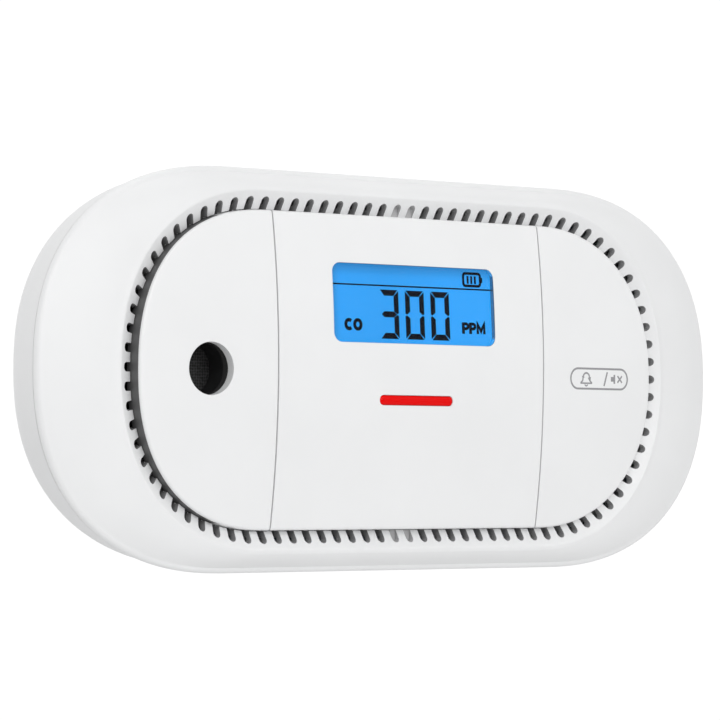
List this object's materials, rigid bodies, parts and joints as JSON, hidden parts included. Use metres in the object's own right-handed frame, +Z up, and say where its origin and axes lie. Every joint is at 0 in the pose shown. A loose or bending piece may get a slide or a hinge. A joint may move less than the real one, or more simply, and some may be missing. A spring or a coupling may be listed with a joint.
{
  "type": "carbon monoxide detector",
  "caption": "Wall-mounted battery carbon monoxide detector: long rounded white case with a ring of air slots, blue display, light bar, sounder outlet and push-to-test end panel.",
  "frame": {"origin": "on the wall, at the centre of the wall bracket's rear face, behind the middle of the case", "axes": "+X to the viewer's right along the case, +Y into the wall, +Z up; the display faces -Y"},
  "size_m": [0.1604, 0.0256, 0.0734],
  "materials": {
    "case_white": "fine satin moulded white plastic",
    "housing_white": "fine satin moulded plastic, a shade greyer than the front",
    "bracket_plastic": "satin moulded plastic",
    "inner_white": "plain moulded white plastic",
    "black_plastic": "matt black moulded plastic",
    "lens": "clear glossy window",
    "lcd": "blue backlit liquid crystal cell",
    "backlight": "blue light guide",
    "elastomer": "striped silicone strip",
    "red_diffuser": "glossy translucent red",
    "led_red": "diode with a clear top",
    "led_green": "diode with a clear top",
    "led_amber": "diode with a clear top",
    "board": "green solder mask with tracks",
    "chip_black": "moulded chip package with tinned legs",
    "capacitor_sleeve": "printed sleeve, plain",
    "ferrite": "ferrite core with a copper winding",
    "component": "small ceramic chips with tinned ends",
    "steel": "plated steel",
    "nickel": "bright nickel plate",
    "brass": "rolled brass",
    "piezo": "silvered ceramic",
    "foam": "closed cell foam",
    "wire_red": "insulation",
    "wire_black": "insulation",
    "sensor_metal": "drawn steel can",
    "gold": "gold plated pins",
    "button_grey": "ivory plastic",
    "battery_wrap": "plain plastic sleeve with steel ends",
    "label_paper": "blank satin label"
  },
  "bodies": {
    "bracket": {"wall_bracket": "bracket_plastic"},
    "alarm": {"rear_housing": "housing_white", "front_shell": "case_white", "display_panel": "case_white", "sounder_panel": "case_white", "case_screws": "steel", "rating_label": "label_paper", "lcd_lens": "lens", "lcd_frame": "inner_white", "lcd_glass": "lcd", "lcd_backlight": "backlight", "lcd_connector": "elastomer", "light_bar": "red_diffuser", "light_shroud": "inner_white", "red_led": "led_red", "green_led": "led_green", "amber_led": "led_amber", "main_board": "board", "board_screws": "steel", "microcontroller": "chip_black", "amplifier_chip": "chip_black", "driver_chip": "chip_black", "capacitors": "capacitor_sleeve", "boost_coil": "ferrite", "small_components": "component", "switch_body": "black_plastic", "sounder_housing": "black_plastic", "sounder_cover": "black_plastic", "piezo_plate": "brass", "piezo_ceramic": "piezo", "sounder_screen": "black_plastic", "sounder_gasket": "foam", "sounder_wire_red": "wire_red", "sounder_wire_black": "wire_black", "sensor_can": "sensor_metal", "sensor_cap": "inner_white", "sensor_pins": "gold", "battery": "battery_wrap", "positive_contact": "nickel", "negative_contact": "nickel", "contact_spring": "nickel"},
    "button": {"test_button": "case_white"},
    "plunger": {"switch_plunger": "button_grey"},
    "door": {"battery_door": "housing_white"}
  },
  "joints": [
    {"name": "alarm_lift", "type": "slide", "parent": "bracket", "child": "alarm", "axis": [0, 0, 1], "range_m": [0, 0.008]},
    {"name": "button_press", "type": "slide", "parent": "alarm", "child": "button", "axis": [0, 1, 0], "range_m": [0, 0.0005], "stiffness_N_per_m": 2400, "springref_m": -0.0005},
    {"name": "plunger_press", "type": "slide", "parent": "alarm", "child": "plunger", "axis": [0, 1, 0], "range_m": [0, 0.0005]},
    {"name": "door_swing", "type": "hinge", "parent": "alarm", "child": "door", "pos_m": [0, -0.0044, -0.0054], "axis": [1, 0, 0], "range_deg": [0, 90]}
  ],
  "couplings": [
    {"joint": "plunger_press", "follows": "button_press", "ratio": 1}
  ]
}
